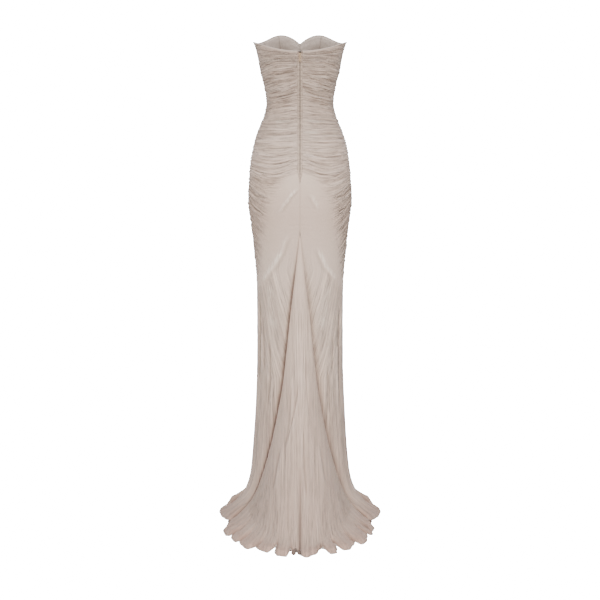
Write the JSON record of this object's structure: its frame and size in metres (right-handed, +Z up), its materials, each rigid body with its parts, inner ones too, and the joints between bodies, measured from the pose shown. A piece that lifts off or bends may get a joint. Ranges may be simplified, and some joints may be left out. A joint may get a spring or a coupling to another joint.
{
  "type": "strapless pleated chiffon evening gown",
  "caption": "Strapless floor-length column gown of ruched and pleated silk chiffon with a back zip, a godet train and a fluted hem, filled out as worn.",
  "frame": {"origin": "centre of the waist, where the wearer holds the gown, 1282 mm over the floor that its train lies on", "axes": "+Z up, front towards -Y, train towards +Y, +X towards the wearer's left"},
  "size_m": [0.4999, 0.8198, 1.4985],
  "materials": {
    "silk_chiffon": "greige silk chiffon in fine crushed pleats, soft sheen",
    "lining": "smooth matt silk lining with seams at the cups",
    "zip_tape": "fine woven olive tape",
    "zip_coil": "spiral nylon coil",
    "zip_metal": "satin, dulled at the edges",
    "dark_wire": "dark enamelled wire"
  },
  "bodies": {
    "gown": {"front_panel": "silk_chiffon", "back_panel_left": "silk_chiffon", "back_panel_right": "silk_chiffon", "godet_left": "silk_chiffon", "godet_right": "silk_chiffon", "placket_left": "silk_chiffon", "placket_right": "silk_chiffon", "front_lining": "lining", "zip_tape": "zip_tape", "zip_chain": "zip_coil", "zip_slider": "zip_metal", "hook": "dark_wire", "eye": "dark_wire"},
    "pull": {"zip_pull": "zip_metal"}
  },
  "joints": [
    {"name": "pull_swing", "type": "hinge", "parent": "gown", "child": "pull", "pos_m": [0, 0.09716, 0.13726], "axis": [1, 0, 0], "range_deg": [0, 150]}
  ]
}
